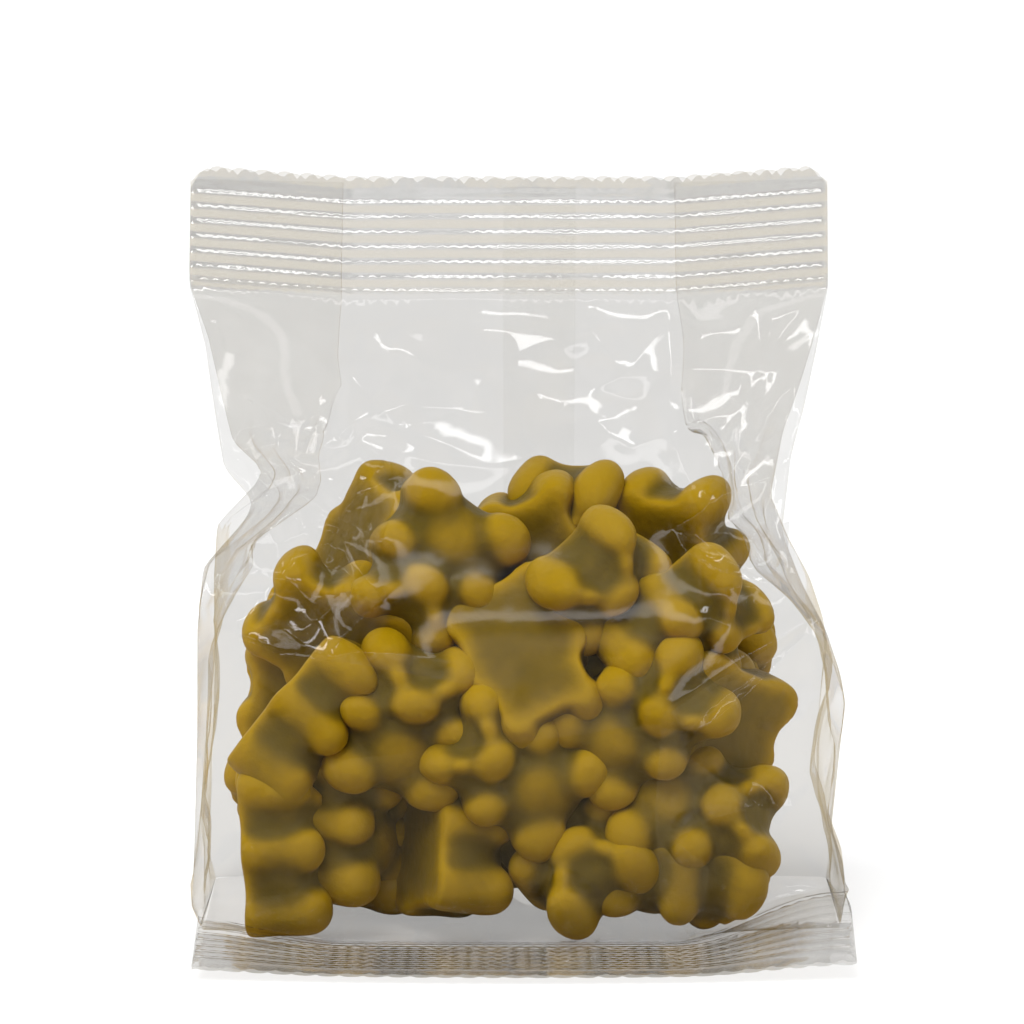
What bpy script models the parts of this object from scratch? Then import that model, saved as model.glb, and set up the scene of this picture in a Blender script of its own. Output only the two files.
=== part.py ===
"""A small clear bag of gummy bears, standing on its own flat base, as one closed solid.

The bag is a gusseted pack: one film, folded inwards down both sides, with a ribbed seal and a
serrated edge at each end. The gussets are pressed shut in the top seal and open downwards, so the
filled body is a box. The bottom seal is folded forwards and lies on the floor as a fin.
+Z is up, the front faces -Y, and the origin is the centre of the footprint, on the floor.
"""

import math

import bmesh
import bpy

MM = 0.001

# Driving sizes
BAG_HEIGHT = 103.5 * MM
SEAL_LENGTH = 17.5 * MM
SEAL_THICKNESS = 0.9 * MM
RIB_COUNT = 7
RIB_DEPTH = 0.35 * MM
TOP_TEETH = 20
FIN_TEETH = 20
TOOTH_HEIGHT = 0.6 * MM
BASE_FRONT = -21.5 * MM
BASE_BACK = 20.5 * MM
FIN_SHIFT = 2.0 * MM
FIN_HALF_WIDTH = 44.2 * MM
FIN_LEFT_LIFT = 3.0 * MM
FIN_RIGHT_LIFT = 6.5 * MM
FIN_LIFT_START = 22.0 * MM
FIN_CLEARANCE = 0.4 * MM
SEAL_BOW = 4.0 * MM
SEAL_RISE = 1.2 * MM
GUSSET_LINE = 22.0 * MM
CROWN = 0.10

# Grid of the solid: columns round the bag, rows of the body
PANEL_COLUMNS = 40
SIDE_COLUMNS = 4
BASE_SHARES = (0.0, 0.25, 0.5, 0.75, 1.0)
BODY_ROWS = 20

SEAL_BOTTOM = BAG_HEIGHT - SEAL_LENGTH

# Outline seen from the front: (height, x) in millimetres, with the pinched waist
LEFT_OUTLINE = ((0, -42.0), (4, -43.2), (14, -42.6), (44, -41.9), (49, -41.5), (58, -35.6),
                (63, -39.4), (79, -41.9), (86, -43.9), (103.5, -44.2))
RIGHT_OUTLINE = ((0, 45.4), (5, 46.2), (15, 44.0), (34, 45.3), (42, 43.7), (54, 37.2),
                 (60, 38.2), (72, 40.6), (79, 42.2), (86, 43.9), (103.5, 43.8))

# Side profile: (height, y) in millimetres of the front and back panels
FRONT_PROFILE = ((0, -21.5), (5, -22.6), (29, -24.0), (45, -22.6), (58, -17.5), (72, -9.5),
                 (81, -3.6), (86, -0.5))
BACK_PROFILE = ((0, 20.5), (3, 21.6), (28, 22.4), (45, 20.6), (58, 15.8), (72, 8.0),
                (81, 3.0), (86, 0.5))

# How far each side is folded inwards: (height, depth) in millimetres
GUSSET_PROFILE = ((0, 0.0), (12, 0.8), (42, 1.5), (52, 5.0), (62, 11.0), (74, 14.0),
                  (82, 8.0), (86, 0.0))

# Creases of the crumpled film: (x, height) of both ends, how far the ridge stands out, and the
# width of the slope on each side of it, in millimetres. A negative ridge is a valley.
FRONT_CREASES = (
    ((-43, 84), (-14, 66), 1.6, 9),
    ((-38, 75), (-25, 67), -1.4, 7),
    ((-40, 63), (-20, 58), 1.8, 7),
    ((-42, 47), (-25, 41), 2.0, 8),
    ((-25, 41), (4, 40), 0.9, 6),
    ((21, 70), (27, 53), 1.8, 7),
    ((21, 56), (34, 48), 1.6, 7),
    ((40, 42), (21, 30), 2.0, 7),
    ((21, 30), (22, 12), 1.2, 5),
    ((-34, 12), (-16, 26), 1.2, 8),
    ((-16, 26), (21, 30), 1.2, 10),
    ((12, 84), (17, 73), 1.2, 6),
    ((17, 73), (40, 76), 1.0, 6),
)
BACK_CREASES = (
    ((-40, 84), (-8, 62), 1.6, 9),
    ((38, 82), (6, 66), -1.4, 9),
    ((-40, 56), (-12, 46), 1.6, 8),
    ((40, 52), (16, 40), 1.8, 8),
    ((-38, 40), (-22, 8), 1.2, 8),
    ((-22, 28), (24, 32), 1.2, 10),
)


def along(profile, height):
    """The value, in metres, that a profile of (height, value) millimetres has at a height."""
    h = height / MM
    if h <= profile[0][0]:
        return profile[0][1] * MM
    for (h0, v0), (h1, v1) in zip(profile, profile[1:]):
        if h <= h1:
            return (v0 + (v1 - v0) * (h - h0) / (h1 - h0)) * MM
    return profile[-1][1] * MM


def crease_relief(creases, x, z):
    """How far the crumpled film stands out at a point: its highest ridge and its deepest valley."""
    highest, deepest = 0.0, 0.0
    for (x0, z0), (x1, z1), ridge, slope in creases:
        dx, dz = x1 - x0, z1 - z0
        share = ((x / MM - x0) * dx + (z / MM - z0) * dz) / (dx * dx + dz * dz)
        share = min(max(share, 0.0), 1.0)
        distance = math.hypot(x / MM - x0 - share * dx, z / MM - z0 - share * dz)
        relief = ridge * max(0.0, 1.0 - distance / slope)
        highest = max(highest, relief)
        deepest = min(deepest, relief)
    return (highest + deepest) * MM


def fade(value, start, end):
    """0 at start, 1 at end, smooth in between."""
    t = min(max((value - start) / (end - start), 0.0), 1.0)
    return t * t * (3.0 - 2.0 * t)


def panel_places():
    """Places across a panel, from -1 at its left edge to 1 at its right edge."""
    return [2.0 * i / PANEL_COLUMNS - 1.0 for i in range(PANEL_COLUMNS + 1)]


def section(left, right, front, back, inset=0.0):
    """One ring of points: the front panel from left to right, the right side, the back panel from
    right to left, and the left side. front and back turn (place, x) into (y, z)."""
    middle, half = (left + right) / 2, (right - left) / 2
    ring_front = []
    ring_back = []
    for place in panel_places():
        x = middle + half * place
        ring_front.append((x, *front(place, x)))
        ring_back.append((x, *back(place, x)))
    right_side = side_points(ring_front[-1], ring_back[-1], -inset)
    left_side = side_points(ring_back[0], ring_front[0], inset)
    return ring_front + right_side + ring_back[::-1] + left_side


def side_points(start, end, inset):
    """The points between two corners of a section, folded inwards by inset at the middle."""
    points = []
    for i in range(1, SIDE_COLUMNS):
        t = i / SIDE_COLUMNS
        point = [a + (b - a) * t for a, b in zip(start, end)]
        point[0] += inset * (1.0 - abs(2.0 * t - 1.0))
        points.append(tuple(point))
    return points


def tooth(place, count):
    """The serrated cut edge: 0 in a notch, the tooth's height at a tip."""
    phase = (place + 1.0) / 2.0 * count
    return TOOTH_HEIGHT * (1.0 - abs(2.0 * (phase % 1.0) - 1.0))


def rib_rows():
    """(share along the seal, rib offset) of each row of a ribbed seal, inner edge first."""
    steps = 2 * RIB_COUNT
    return [((i + 1) / (steps + 1), RIB_DEPTH if i % 2 else -RIB_DEPTH) for i in range(steps)]


def fin_lift(x):
    """How far the two ends of the fin's inner edge curl up."""
    if x < 0:
        return FIN_LEFT_LIFT * fade(-x, FIN_LIFT_START, FIN_HALF_WIDTH)
    return FIN_RIGHT_LIFT * fade(x, FIN_LIFT_START, FIN_HALF_WIDTH)


def fin_sections():
    """The bottom seal, folded forwards on the floor, from its serrated edge to the body."""
    left, right = FIN_SHIFT - FIN_HALF_WIDTH, FIN_SHIFT + FIN_HALF_WIDTH
    centre_height = FIN_CLEARANCE + RIB_DEPTH + SEAL_THICKNESS / 2

    def line(share, offset, cut=0.0):
        def place_on_fin(place, x):
            y = BASE_FRONT - SEAL_LENGTH * share - cut * tooth(place, FIN_TEETH)
            return y, centre_height + offset + fin_lift(x) * (1.0 - 0.8 * share)
        return place_on_fin

    rings = [section(left, right, line(1.0, 0.0, 1.0), line(1.0, 0.0, 1.0))]
    for share, rib in reversed(rib_rows()):
        top, under = rib + SEAL_THICKNESS / 2, rib - SEAL_THICKNESS / 2
        rings.append(section(left, right, line(share, top), line(share, under)))
    return rings


def base_sections():
    """The base: the front panel starts to rise while the back panel crosses the floor. The curled
    fin comes down over the first quarter, and the rest of the base is a flat rectangle."""
    rings = []
    for t in BASE_SHARES:
        spread = 1.0 - t
        curl = max(0.0, 1.0 - t / BASE_SHARES[1])
        left = (FIN_SHIFT - FIN_HALF_WIDTH) * curl + along(LEFT_OUTLINE, 0) * (1.0 - curl)
        right = (FIN_SHIFT + FIN_HALF_WIDTH) * curl + along(RIGHT_OUTLINE, 0) * (1.0 - curl)

        def front(place, x, t=t, spread=spread, curl=curl):
            height = SEAL_THICKNESS + FIN_CLEARANCE * curl
            height += 5.0 * MM * t + fin_lift(x) * spread * 0.9
            return BASE_FRONT - 1.0 * MM * t, height

        def back(place, x, t=t, curl=curl):
            y = BASE_FRONT + (BASE_BACK - BASE_FRONT) * t
            return y, (FIN_CLEARANCE + fin_lift(x) * 0.9) * curl

        rings.append(section(left, right, front, back))
    return rings


def body_sections():
    """The filled box and the pinched, crumpled head space above it."""
    rings = []
    for row in range(1, BODY_ROWS + 1):
        t = row / BODY_ROWS
        front_height = SEAL_THICKNESS + 5.0 * MM
        front_height += (SEAL_BOTTOM - front_height) * t
        back_height = SEAL_BOTTOM * t ** 1.08

        def front(place, x, z=front_height, t=t):
            y = along(FRONT_PROFILE, z) * (1.0 - CROWN * place * place)
            edge = 1.0 - place ** 6
            calm = fade(1.0 - t, 0.0, 0.12)
            y -= crease_relief(FRONT_CREASES, x, z) * edge * calm
            return y + seal_bow(x) * t ** 3, z + seal_rise(x) * t ** 3

        def back(place, x, z=back_height, t=t):
            y = along(BACK_PROFILE, z) * (1.0 - CROWN * place * place)
            edge = 1.0 - place ** 6
            calm = fade(1.0 - t, 0.0, 0.12) * fade(t, 0.0, 0.15)
            y += crease_relief(BACK_CREASES, x, z) * edge * calm
            return y + seal_bow(x) * t ** 3, z + seal_rise(x) * t ** 3

        middle_height = (front_height + back_height) / 2
        left = along(LEFT_OUTLINE, middle_height)
        right = along(RIGHT_OUTLINE, middle_height)
        inset = along(GUSSET_PROFILE, middle_height)
        rings.append(section(left, right, front, back, inset))
    return rings


def seal_bow(x):
    """The top seal is bent at its two gusset lines, and its ends lie further back."""
    return SEAL_BOW * max(0.0, abs(x) - GUSSET_LINE) / GUSSET_LINE


def seal_rise(x):
    return SEAL_RISE * max(0.0, abs(x) - GUSSET_LINE) / GUSSET_LINE


def top_seal_sections():
    """The ribbed top seal, up to its serrated edge."""
    left, right = along(LEFT_OUTLINE, BAG_HEIGHT), along(RIGHT_OUTLINE, BAG_HEIGHT)
    height = SEAL_LENGTH - SEAL_RISE - TOOTH_HEIGHT

    def line(share, offset, cut=0.0):
        def place_on_seal(place, x):
            z = SEAL_BOTTOM + height * share + seal_rise(x) + cut * tooth(place, TOP_TEETH)
            return offset + seal_bow(x), z
        return place_on_seal

    rings = []
    for share, rib in rib_rows():
        near, far = rib - SEAL_THICKNESS / 2, rib + SEAL_THICKNESS / 2
        rings.append(section(left, right, line(share, near), line(share, far)))
    rings.append(section(left, right, line(1.0, 0.0, 1.0), line(1.0, 0.0, 1.0)))
    return rings


def wrap_film(rings):
    """A sheet wrapped round the rings, zipped along its seam and at both cut edges."""
    columns = len(rings[0])
    mesh = bmesh.new()
    bmesh.ops.create_grid(mesh, x_segments=columns, y_segments=len(rings) - 1, size=1.0)
    for vert in mesh.verts:
        column = round((vert.co.x + 1.0) / 2.0 * columns)
        row = round((vert.co.y + 1.0) / 2.0 * (len(rings) - 1))
        vert.co = rings[row][column % columns]
    bmesh.ops.remove_doubles(mesh, verts=mesh.verts, dist=0.002 * MM)
    bmesh.ops.recalc_face_normals(mesh, faces=mesh.faces)
    return mesh


def centre_footprint(mesh):
    """Moves the solid so that the origin is under the middle of its box, on the floor."""
    lows = [min(vert.co[axis] for vert in mesh.verts) for axis in range(3)]
    highs = [max(vert.co[axis] for vert in mesh.verts) for axis in range(3)]
    shift = (-(lows[0] + highs[0]) / 2, -(lows[1] + highs[1]) / 2, -lows[2])
    bmesh.ops.translate(mesh, vec=shift, verts=mesh.verts)


def clear_film():
    """Clear, slightly grey, glossy film."""
    material = bpy.data.materials.new("clear_film")
    material.use_nodes = True
    shader = material.node_tree.nodes["Principled BSDF"]
    shader.inputs["Base Color"].default_value = (0.80, 0.80, 0.78, 1.0)
    shader.inputs["Roughness"].default_value = 0.08
    shader.inputs["Metallic"].default_value = 0.0
    shader.inputs["Alpha"].default_value = 0.35
    return material


def build_bag():
    rings = fin_sections() + base_sections() + body_sections() + top_seal_sections()
    solid = wrap_film(rings)
    centre_footprint(solid)
    data = bpy.data.meshes.new("bag")
    solid.to_mesh(data)
    solid.free()
    data.materials.append(clear_film())
    data.shade_smooth()
    data.set_sharp_from_angle(angle=math.radians(25))
    bag = bpy.data.objects.new("bag", data)
    bpy.context.scene.collection.objects.link(bag)
    return bag


for old in list(bpy.data.objects):
    bpy.data.objects.remove(old)
build_bag()
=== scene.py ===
import math

import bpy
import numpy as np
from mathutils import Matrix, Vector, noise
from mathutils.geometry import delaunay_2d_cdt
from mathutils.kdtree import KDTree


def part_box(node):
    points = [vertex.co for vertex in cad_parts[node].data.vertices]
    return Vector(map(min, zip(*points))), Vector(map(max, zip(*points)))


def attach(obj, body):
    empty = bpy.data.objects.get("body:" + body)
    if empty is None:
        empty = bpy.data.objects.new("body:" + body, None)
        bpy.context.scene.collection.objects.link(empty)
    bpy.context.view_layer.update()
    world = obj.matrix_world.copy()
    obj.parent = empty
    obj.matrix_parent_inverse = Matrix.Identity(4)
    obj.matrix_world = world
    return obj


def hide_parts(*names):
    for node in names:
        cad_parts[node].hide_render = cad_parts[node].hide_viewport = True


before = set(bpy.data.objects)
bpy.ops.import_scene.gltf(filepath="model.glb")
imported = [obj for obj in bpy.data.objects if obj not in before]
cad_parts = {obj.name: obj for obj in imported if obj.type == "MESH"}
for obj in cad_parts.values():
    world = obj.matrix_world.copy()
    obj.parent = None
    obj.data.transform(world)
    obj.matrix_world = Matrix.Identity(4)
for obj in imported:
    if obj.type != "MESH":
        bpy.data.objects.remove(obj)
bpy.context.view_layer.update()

# A small clear gusseted bag, standing on its folded base and half filled with gummy bears.
# Every size below is in millimetres, measured from the middle of the bag on the floor:
# +X to the right, +Z up, and the front of the bag faces -Y.

MM = 0.001

bag_low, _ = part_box("bag")

# The seal's left end and the fin's cut edge are the lowest corner of the bag's box.
SEAL_LEFT_END = 44.2
FIN_CUT_EDGE = 39.6
MIDDLE = Vector((bag_low.x + SEAL_LEFT_END * MM, bag_low.y + FIN_CUT_EDGE * MM, bag_low.z))
TO_ROW = Matrix.Translation(MIDDLE) @ Matrix.Scale(MM, 4)


# ---------------------------------------------------------------- gummy bears

BEAR_VOXEL = 0.50
BLEND_ROUNDS = 30    # rounds of smoothing that soften the joins between the lumps

# The mould is made of rounded blocks and round lumps. The flat back is y = 0, the face looks
# along -Y, and whatever lies wholly at x above 0 is made on both sides.
# Blocks: lowest corner, highest corner and the radius of their edges.
BLOCKS = (
    ((-8.2, -9.4, 0.9), (8.2, 3.0, 15.0), 4.2),      # body
    ((-7.1, -9.4, 12.0), (7.1, 3.0, 21.2), 4.2),     # head
    ((2.8, -11.4, 9.0), (9.3, 3.0, 14.9), 2.9),      # arm
    ((1.5, -11.9, 0.0), (9.4, 3.0, 7.2), 3.5),       # leg
)
# Lumps: centre and radii.
LUMPS = (
    ((0.0, -7.2, 7.6), (6.0, 4.4, 5.6)),      # belly
    ((0.0, -9.6, 15.2), (3.6, 3.2, 3.0)),     # muzzle
    ((3.1, -9.4, 18.3), (1.5, 1.9, 1.5)),     # eye
    ((5.0, -4.6, 20.2), (3.4, 5.6, 3.3)),     # ear
)

# Touching spheres that stand for one bear while the heap settles: centre and radius.
BEAR_BALLS = (
    ((0.0, -4.4, 5.6), 4.3), ((0.0, -4.2, 10.6), 4.2), ((0.0, -4.4, 16.0), 4.3),
    ((4.5, -3.4, 18.8), 2.8), ((-4.5, -3.4, 18.8), 2.8),
    ((5.4, -3.2, 12.0), 2.8), ((-5.4, -3.2, 12.0), 2.8),
    ((5.9, -8.4, 12.0), 2.3), ((-5.9, -8.4, 12.0), 2.3),
    ((5.1, -3.4, 4.0), 3.2), ((-5.1, -3.4, 4.0), 3.2),
    ((5.4, -8.6, 3.7), 3.0), ((-5.4, -8.6, 3.7), 3.0),
)
# How the heap settles. The front bears are held near their places for most of the steps.
BALL_FIT = 0.93
SETTLE_STEPS = 300
STEPS_HELD = 285
TURN_HOLD = 900.0
FLOOR_CLEAR = 1.6
BEAR_FLOOR = 0.7
BEAR_MIDDLE = Vector((0.0, -4.6, 10.6))

# Bears that show at the front: middle (x, y, z), then roll, lean and turn in degrees. Roll
# turns the head clockwise from up, lean tips it to the front, and turn faces it to the right.
FRONT_BEARS = (
    ((-18.6, 2, 48.5), (25, 0, 120)),
    ((-10.8, -9, 47.5), (-146, 5, -8)),
    ((1.5, 4, 49.5), (60, 0, 180)),
    ((10.6, 6, 49.0), (-20, 30, -30)),
    ((14.5, -8, 45.0), (-38, 40, 14)),
    ((2.8, -13, 38.6), (162, 24, 176)),
    ((3.6, -7, 24.7), (80, 0, 90)),
    ((16.6, 6, 35.1), (30, 0, 0)),
    ((26.7, 2, 45.5), (15, 0, 150)),
    ((21.9, -2, 40.0), (-70, 0, 160)),
    ((30.0, -7, 38.5), (60, 0, 30)),
    ((18.5, -14, 31.3), (48, 4, 6)),
    ((32.2, -3, 27.0), (4, 0, 84)),
    ((27.9, -8, 25.8), (200, 20, 150)),
    ((26.8, -12, 16.5), (84, 0, -30)),
    ((2.9, -13, 20.8), (-52, 10, 20)),
    ((12.0, -16, 10.6), (140, 34, 0)),
    ((25.4, -14, 7.0), (92, 10, 60)),
    ((-8.8, -14, 11.0), (3, -20, 112)),
    ((-13.7, -14, 29.7), (8, 6, 14)),
    ((-26.1, -12, 30.5), (38, 0, 70)),
    ((-33.3, -3, 26.9), (10, 0, 172)),
    ((-27.1, -4, 41.2), (-62, 0, 160)),
    ((-30.7, -15, 12.5), (0, 4, 80)),
    ((-24.0, -7, 12.2), (10, 0, 66)),
    ((-15.2, 0, 11.0), (0, 0, 40)),
)


def clear_selection():
    """Leaves nothing selected and no object active."""
    bpy.ops.object.select_all(action="DESELECT")
    bpy.context.view_layer.objects.active = None


def select_only(objects):
    clear_selection()
    for obj in objects:
        obj.select_set(True)
    bpy.context.view_layer.objects.active = objects[0]


def apply_modifiers(obj):
    select_only([obj])
    for modifier in list(obj.modifiers):
        bpy.ops.object.modifier_apply(modifier=modifier.name)


def add_lump(centre, radii):
    """One rounded lump of the mould, cut flat at the bear's back."""
    bpy.ops.mesh.primitive_uv_sphere_add(segments=32, ring_count=20, radius=1.0, location=centre)
    lump = bpy.context.active_object
    lump.scale = radii
    bpy.ops.object.transform_apply(location=True, rotation=True, scale=True)
    bpy.ops.object.mode_set(mode="EDIT")
    bpy.ops.mesh.select_all(action="SELECT")
    bpy.ops.mesh.bisect(plane_co=(0, 0, 0), plane_no=(0, 1, 0), use_fill=True, clear_outer=True)
    bpy.ops.object.mode_set(mode="OBJECT")
    return lump


def add_block(low, high, rounding):
    """One block of the mould with rounded edges, cut flat at the bear's back."""
    centre = [(a + b) / 2 for a, b in zip(low, high)]
    bpy.ops.mesh.primitive_cube_add(size=1.0, location=centre)
    block = bpy.context.active_object
    block.scale = [b - a for a, b in zip(low, high)]
    bpy.ops.object.transform_apply(location=True, rotation=True, scale=True)
    bpy.ops.object.mode_set(mode="EDIT")
    bpy.ops.mesh.select_all(action="SELECT")
    bpy.ops.mesh.bevel(offset=rounding, segments=6, affect="EDGES")
    bpy.ops.mesh.select_all(action="SELECT")
    bpy.ops.mesh.bisect(plane_co=(0, 0, 0), plane_no=(0, 1, 0), use_fill=True, clear_outer=True)
    bpy.ops.object.mode_set(mode="OBJECT")
    return block


def moulded_bear(name, stretch):
    """One bear as it comes out of the mould, in millimetres, standing with its back at y = 0."""
    lumps = []
    for low, high, rounding in BLOCKS:
        low, high = ([a * b for a, b in zip(corner, stretch)] for corner in (low, high))
        clear_selection()
        lumps.append(add_block(low, high, rounding))
        if low[0] > 0:
            clear_selection()
            lumps.append(add_block((-high[0], *low[1:]), (-low[0], *high[1:]), rounding))
    for (x, y, z), (rx, ry, rz) in LUMPS:
        for side in ((1, -1) if x > 0 else (1,)):
            centre = (x * side * stretch[0], y * stretch[1], z * stretch[2])
            clear_selection()
            lumps.append(add_lump(centre, (rx * stretch[0], ry * stretch[1], rz * stretch[2])))
    select_only(lumps)
    bpy.ops.object.join()
    bear = bpy.context.active_object
    bear.name = name
    remesh = bear.modifiers.new("one skin", "REMESH")
    remesh.mode = "VOXEL"
    remesh.voxel_size = BEAR_VOXEL
    smooth = bear.modifiers.new("soft blends", "SMOOTH")
    smooth.factor = 0.5
    smooth.iterations = BLEND_ROUNDS
    apply_modifiers(bear)
    bpy.ops.object.shade_smooth()
    paint_swell_glow_and_shade(bear.data)
    return bear


def vertex_places(mesh):
    places = np.empty(len(mesh.vertices) * 3, np.float32)
    mesh.vertices.foreach_get("co", places)
    return places.reshape(-1, 3).astype(float)


def paint_swell_glow_and_shade(mesh):
    """Stores how far each point stands out from its surroundings, 0 to 1, which the gum's colour turns
    into painted light and shade: a golden painted glow on the limbs and rims, where thin gum would let
    light through, and painted shade, duller and darker, on the flats and in hollows."""
    places = vertex_places(mesh)
    edges = np.empty(len(mesh.edges) * 2, np.int32)
    mesh.edges.foreach_get("vertices", edges)
    first, second = edges.reshape(-1, 2).T
    count = np.bincount(np.concatenate([first, second]), minlength=len(places))[:, None]
    blurred = places.copy()
    for _ in range(60):
        total = np.zeros_like(blurred)
        np.add.at(total, first, blurred[second])
        np.add.at(total, second, blurred[first])
        blurred = 0.4 * blurred + 0.6 * total / count
    normals = np.empty(len(places) * 3, np.float32)
    mesh.vertices.foreach_get("normal", normals)
    swell = ((places - blurred) * normals.reshape(-1, 3)).sum(axis=1)
    # Painted light and shade: low values darken hollows and flats, high values brighten limbs and rims.
    swell = np.clip(0.16 + swell * 1.15, 0.0, 1.0)
    layer = mesh.attributes.new("swell", "FLOAT", "POINT")
    layer.data.foreach_set("value", swell.astype(np.float32))


def bear_turn(roll, lean, turn):
    """The turn of a bear whose head rolls clockwise, leans to the front and faces aside."""
    return (Matrix.Rotation(math.radians(roll), 3, "Y")
            @ Matrix.Rotation(math.radians(lean), 3, "X")
            @ Matrix.Rotation(math.radians(turn), 3, "Z"))


def filler_bears(rng):
    """Bears behind and between the front ones, in loose layers, each turned its own way."""
    found = []
    for y in (5.0, 14.0):
        for row, z in enumerate((8.0, 19.0, 29.0)):
            for column in range(4):
                x = -30.0 + 19.0 * column + (4.0 if row % 2 else 0.0) + rng.uniform(-2, 2)
                if y < 10 and (column + row) % 3:
                    continue
                middle = (x, y + rng.uniform(-1, 1), z + rng.uniform(-1.5, 1.5))
                turn = (rng.uniform(0, 360), rng.uniform(-40, 40), rng.uniform(0, 360))
                found.append((middle, turn))
    return found


def heap_limits(z):
    """How far the heap may reach at each height: left, right, front and back."""
    left = np.interp(z, (0, 30, 44, 58, 70), (-35.5, -36.5, -34.5, -26.0, -24.0))
    right = np.interp(z, (0, 20, 34, 54, 70), (32.0, 34.5, 35.5, 30.0, 26.0))
    front = np.interp(z, (0, 12, 29, 45, 58, 72), (-20.6, -20.9, -20.6, -17.6, -11.5, -5.0))
    back = np.interp(z, (0, 28, 45, 58, 72), (19.5, 20.5, 18.0, 11.5, 4.0))
    return left, right, front, back


def settle(poses, held):
    """Pushes overlapping bears apart and keeps them inside the film. Each bear is a rigid set of
    balls: the balls move freely, then the bear takes the turn and place that fit them best."""
    rest = np.array([centre for centre, _ in BEAR_BALLS]) - np.array(BEAR_MIDDLE)
    radius = np.array([r for _, r in BEAR_BALLS])
    balls = len(rest)
    turns = np.array([np.array(bear_turn(*turn)) for _, turn in poses])
    middles = np.array([middle for middle, _ in poses], float)
    wished = middles.copy()
    wished_turns = turns.copy()
    wished_turns[held:] = 0.0
    owner = np.repeat(np.arange(len(poses)), balls)
    size = np.tile(radius * BALL_FIT, len(poses))
    weight = np.where(np.arange(len(poses)) < held, 0.25, 1.0)[owner]
    upper = np.triu_indices(len(owner), 1)
    apart = owner[upper[0]] != owner[upper[1]]
    one, two = upper[0][apart], upper[1][apart]
    reach = size[one] + size[two]
    share = weight[one] / (weight[one] + weight[two])
    for step in range(SETTLE_STEPS):
        spots = (middles[:, None] + np.einsum("bij,kj->bki", turns, rest)).reshape(-1, 3)
        for _ in range(2):
            gap = spots[two] - spots[one]
            distance = np.sqrt((gap * gap).sum(axis=1)) + 1e-9
            close = np.nonzero(distance < reach)[0]
            push = gap[close] / distance[close, None]
            push *= (reach[close] - distance[close])[:, None] * 0.45
            np.add.at(spots, one[close], -push * share[close, None])
            np.add.at(spots, two[close], push * (1 - share[close])[:, None])
            left, right, front, back = heap_limits(spots[:, 2])
            spots[:, 0] = np.clip(spots[:, 0], left + size, right - size)
            spots[:, 1] = np.clip(spots[:, 1], front + size, back - size)
            spots[:, 2] = np.maximum(spots[:, 2], FLOOR_CLEAR + size)
        moved = spots.reshape(len(poses), balls, 3)
        middles = moved.mean(axis=1) - np.einsum("bij,j->bi", turns, rest.mean(axis=0))
        arms = moved - moved.mean(axis=1)[:, None]
        blend = np.einsum("bki,kj->bij", arms, rest - rest.mean(axis=0))
        if step < STEPS_HELD:
            blend = blend + TURN_HOLD * wished_turns
        u, _, vt = np.linalg.svd(blend)
        flip = np.sign(np.linalg.det(u @ vt))
        u[:, :, 2] *= flip[:, None]
        turns = u @ vt
        middles = moved.mean(axis=1) - np.einsum("bij,j->bi", turns, rest.mean(axis=0))
        if step < STEPS_HELD:
            pull = np.where(np.arange(len(poses)) < held, 0.07, 0.0)[:, None]
            middles += (wished - middles) * pull
            middles[held:, 2] -= 0.05
    return turns, middles


def dent(places, seed):
    """Small uneven swellings, so that no two bears are quite alike."""
    shift = Vector((seed * 7.3, seed * 3.1, seed * 5.7))
    out = places.copy()
    for i, place in enumerate(places):
        out[i] += np.array(noise.noise_vector(Vector(place) * 0.16 + shift)) * 0.42
    return out


class HeapReach:
    """How far the heap reaches out to one side, over cells of a millimetre, so that the film can
    lie over the bears. across and height are the two directions of the film."""

    LOW, SIZE = -60, 130

    def __init__(self, across, height, out):
        cells = np.full((self.SIZE, self.SIZE), -1e3)
        i = np.clip((across - self.LOW).astype(int), 0, self.SIZE - 1)
        j = np.clip((height + 10).astype(int), 0, self.SIZE - 1)
        np.maximum.at(cells, (i, j), out)
        for drop in (0.05, 0.1, 0.2, 0.3, 0.4, 0.5, 0.6):
            wide = cells.copy()
            for axis in (0, 1):
                for step in (-1, 1):
                    wide = np.maximum(wide, np.roll(cells, step, axis) - drop)
            cells = wide
        self.cells = cells

    def at(self, across, height):
        u, v = across - self.LOW - 0.5, height + 9.5
        i, j = np.clip(u.astype(int), 0, self.SIZE - 2), np.clip(v.astype(int), 0, self.SIZE - 2)
        s, t = np.clip(u - i, 0, 1), np.clip(v - j, 0, 1)
        c = self.cells
        near = c[i, j] * (1 - s) + c[i + 1, j] * s
        far = c[i, j + 1] * (1 - s) + c[i + 1, j + 1] * s
        return near * (1 - t) + far * t


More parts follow.
